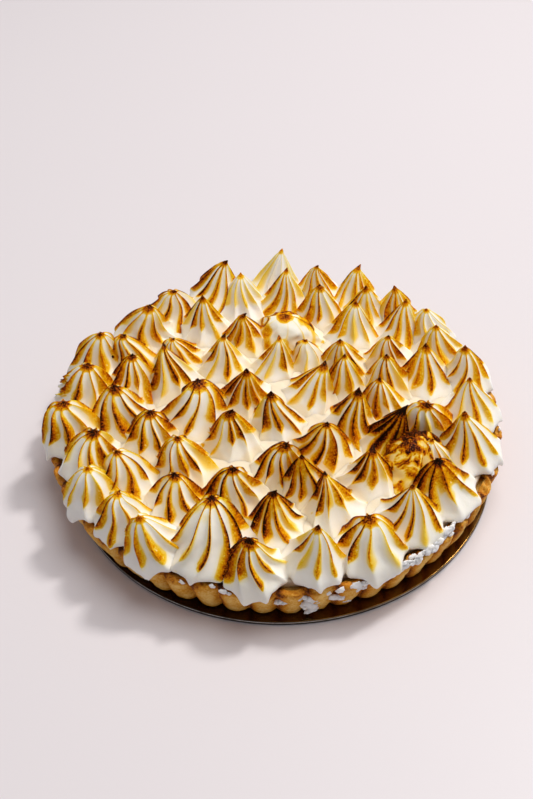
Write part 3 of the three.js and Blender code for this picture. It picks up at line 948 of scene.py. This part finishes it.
# Bearing in degrees, then height above the tin base, distance from the axis and size in mm.
CRUMBS = [
    (-90.2, 14.6, 122.0, 1.5), (-89.6, 15.6, 122.2, 1.2), (-88.4, 15.0, 122.2, 1.4),
    (-87.0, 16.4, 122.5, 1.1), (-85.6, 17.2, 122.6, 1.4), (-77.6, 14.6, 122.3, 1.7),
    (-76.1, 13.0, 121.8, 2.0), (-75.0, 14.8, 122.2, 1.3), (-71.6, 17.4, 122.8, 1.5),
    (-70.2, 16.4, 122.6, 1.3), (-84.3, 17.6, 122.6, 1.5), (-83.1, 16.4, 122.6, 2.1),
    (-82.0, 14.4, 122.2, 1.7), (-83.6, 12.4, 121.8, 2.0), (-82.5, 9.8, 121.4, 2.2),
    (-83.9, 7.9, 120.8, 1.6), (-82.2, 5.7, 120.6, 1.9), (-83.2, 3.4, 120.2, 1.4),
    (-84.6, 10.4, 121.2, 1.1), (-81.1, 11.9, 121.8, 1.2), (-89.0, 13.5, 121.9, 1.3),
    (-88.3, 12.1, 121.5, 0.8), (-74.0, 7.8, 120.6, 1.4), (-73.4, 6.2, 120.3, 0.8),
    (-72.0, 15.2, 122.3, 1.2), (-79.0, 20.4, 124.0, 1.1), (-63.4, 23.6, 124.4, 1.6),
    (-62.0, 24.4, 124.0, 2.2), (-60.4, 24.6, 124.3, 2.0), (-59.2, 24.4, 124.2, 1.5),
    (-61.2, 21.8, 124.8, 1.2), (-57.8, 25.0, 122.8, 1.7), (-48.2, 25.0, 122.8, 2.0),
    (-46.7, 25.6, 122.2, 2.9), (-45.2, 25.2, 122.6, 2.2), (-43.8, 25.4, 121.4, 1.4),
    (-46.0, 24.0, 124.2, 1.2), (-39.0, 24.2, 123.4, 1.3), (-23.0, 24.4, 123.0, 1.3),
    (-19.0, 24.0, 123.8, 1.5), (-17.6, 24.2, 123.4, 1.0), (-7.0, 24.2, 123.2, 1.2),
    (-72.6, 22.6, 124.4, 2.2), (-71.0, 21.5, 124.0, 1.8), (-69.4, 22.4, 124.6, 1.5),
    (-65.4, 24.2, 124.2, 1.5), (-60.8, 23.6, 124.6, 2.2), (-58.6, 23.2, 124.9, 1.6),
    (-56.4, 24.6, 124.2, 2.0), (-54.8, 24.8, 123.6, 1.6), (-105.0, 23.6, 122.8, 1.2),
    (-102.2, 23.2, 124.6, 1.5), (-101.0, 22.4, 124.8, 1.0), (-112.0, 22.8, 124.4, 1.2),
    (-68.0, 23.8, 124.0, 2.6), (-66.6, 22.2, 124.6, 1.7), (-63.8, 22.4, 124.8, 2.4),
    (-57.0, 22.6, 124.8, 2.2), (-53.4, 24.4, 124.0, 2.4), (-51.8, 23.2, 124.6, 1.8),
    (-50.2, 24.8, 123.6, 2.2), (-76.4, 21.6, 124.4, 1.8),
]


def crumb(bm, bearing, height, reach, size, number):
    """One craggy flake, flat against the case."""
    made = bmesh.ops.create_icosphere(bm, subdivisions=3, radius=1)["verts"]
    outwards = Vector((math.cos(bearing), math.sin(bearing), 0))
    leftwards = Vector((-outwards.y, outwards.x, 0))
    middle = outwards * reach + Vector((0, 0, crust_foot + height))
    for vert in made:
        crag = noise.noise(vert.co * 1.1 + Vector((number, 0, 0))) * 0.6 + noise.noise(vert.co * 2.6) * 0.3
        x, y, z = vert.co * size * (1 + crag)
        vert.co = middle + FLAKE[0] * x * outwards + FLAKE[1] * y * leftwards + Vector((0, 0, FLAKE[2] * z))


bm = bmesh.new()
for number, (degrees, height, reach, size) in enumerate(CRUMBS):
    crumb(bm, math.radians(degrees), height / 1000, reach / 1000, size / 1000, number)
crumbs = as_piece("meringue_crumbs", bm, meringue_paint, "torched_meringue")
store(crumbs.data, "toast", np.zeros(len(crumbs.data.vertices)))
store(crumbs.data, "nook", np.zeros(len(crumbs.data.vertices)))

# ---- Floor and light ----
# A pale, faintly pink tabletop, a large soft window to the right and behind, and dim light from all around.

FLOOR_SIZE = 6.0

bm = bmesh.new()
bmesh.ops.create_grid(bm, x_segments=1, y_segments=1, size=FLOOR_SIZE / 2)
mesh = bpy.data.meshes.new("floor")
bm.to_mesh(mesh)
bm.free()
floor = bpy.data.objects.new("floor", mesh)
bpy.context.scene.collection.objects.link(floor)
paint = Paint("pale_tabletop")
floor.data.materials.append(paint.finish(
    Base_Color=paint.mix(paint.noise(0.4, 2) * 0.5, srgb(225, 218, 219), srgb(229, 223, 224)),
    Roughness=0.42,
    Specular_IOR_Level=0.3,
))


def softbox(name, place, size, power, colour):
    light = bpy.data.lights.new(name, "AREA")
    light.shape = "DISK"
    light.size = size
    light.energy = power
    light.color = colour
    lamp = bpy.data.objects.new(name, light)
    lamp.location = place
    lamp.rotation_mode = "QUATERNION"
    lamp.rotation_quaternion = (-Vector(place)).to_track_quat("-Z", "Y")
    bpy.context.scene.collection.objects.link(lamp)


softbox("window", (1.24, 0.95, 2.3), 0.42, 36, (1.0, 0.98, 0.96))
softbox("ceiling", (0.6, 0.3, 2.2), 1.8, 28, (1.0, 0.99, 0.98))

world = bpy.data.worlds.new("room")
bpy.context.scene.world = world
world.use_nodes = True
world.node_tree.nodes["Background"].inputs["Color"].default_value = (0.95, 0.93, 1.0, 1)
world.node_tree.nodes["Background"].inputs["Strength"].default_value = 0.28
bpy.context.scene.view_settings.view_transform = "Standard"
